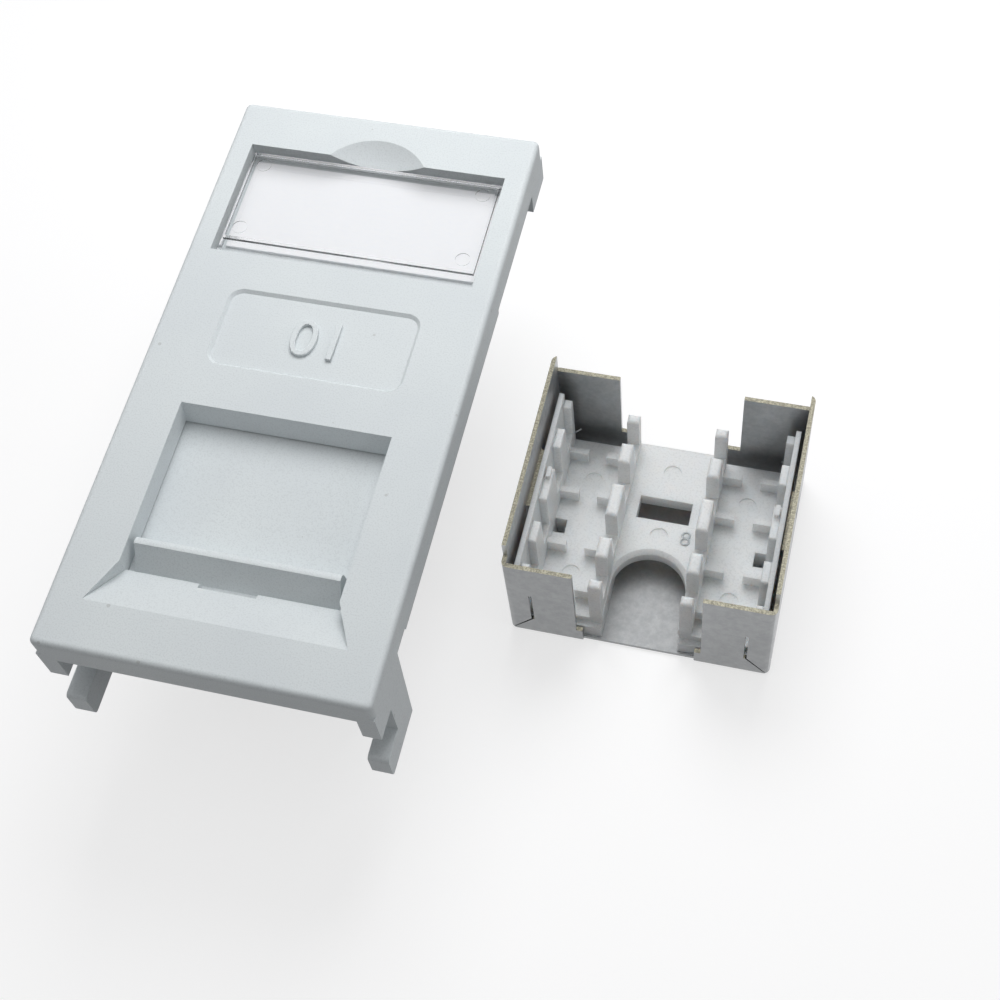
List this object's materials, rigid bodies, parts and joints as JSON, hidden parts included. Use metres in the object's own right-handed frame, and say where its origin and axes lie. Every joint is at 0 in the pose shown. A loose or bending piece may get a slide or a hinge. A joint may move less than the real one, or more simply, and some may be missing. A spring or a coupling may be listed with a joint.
{
  "type": "euro data module",
  "caption": "Euro data module: snap-in face with sliding shutter, label window and shielded modular socket, with its rear screening cap and wire organiser lying beside it.",
  "frame": {"origin": "centre of the 25 x 50 mm front face, on its outer plane", "axes": "+X across the face to the right, +Y up the face, +Z out of the face; the module lies on its back, face up"},
  "size_m": [0.05, 0.0503, 0.0207],
  "materials": {
    "face_plastic": "fine matt moulding",
    "label_paper": "plain card",
    "clear_plastic": "clear polished",
    "socket_plastic": "satin moulding",
    "insert_plastic": "satin moulding",
    "spring_metal": "plated spring strip",
    "board_laminate": "solder-masked laminate",
    "white_plastic": "slightly translucent moulding",
    "tinned_sheet": "tinned sheet with bright cut edges"
  },
  "bodies": {
    "module": {"front_frame": "face_plastic", "label_card": "label_paper", "socket_housing": "socket_plastic", "socket_shield": "tinned_sheet", "contact_carrier": "insert_plastic", "contact_1": "spring_metal", "contact_2": "spring_metal", "contact_3": "spring_metal", "contact_4": "spring_metal", "contact_5": "spring_metal", "contact_6": "spring_metal", "contact_7": "spring_metal", "contact_8": "spring_metal", "circuit_board": "board_laminate", "idc_block_left": "white_plastic", "idc_block_right": "white_plastic", "idc_clip_1": "spring_metal", "idc_clip_2": "spring_metal", "idc_clip_3": "spring_metal", "idc_clip_4": "spring_metal", "idc_clip_5": "spring_metal", "idc_clip_6": "spring_metal", "idc_clip_7": "spring_metal", "idc_clip_8": "spring_metal", "cap_shield": "tinned_sheet", "wire_organiser": "white_plastic"},
    "shutter": {"shutter": "face_plastic"},
    "label_cover": {"label_cover": "clear_plastic"}
  },
  "joints": [
    {"name": "shutter_slide", "type": "slide", "parent": "module", "child": "shutter", "axis": [0, 1, 0], "range_m": [0, 0.0104]},
    {"name": "label_cover_lift", "type": "slide", "parent": "module", "child": "label_cover", "axis": [0, 0, 1], "range_m": [0, 0.005]}
  ]
}
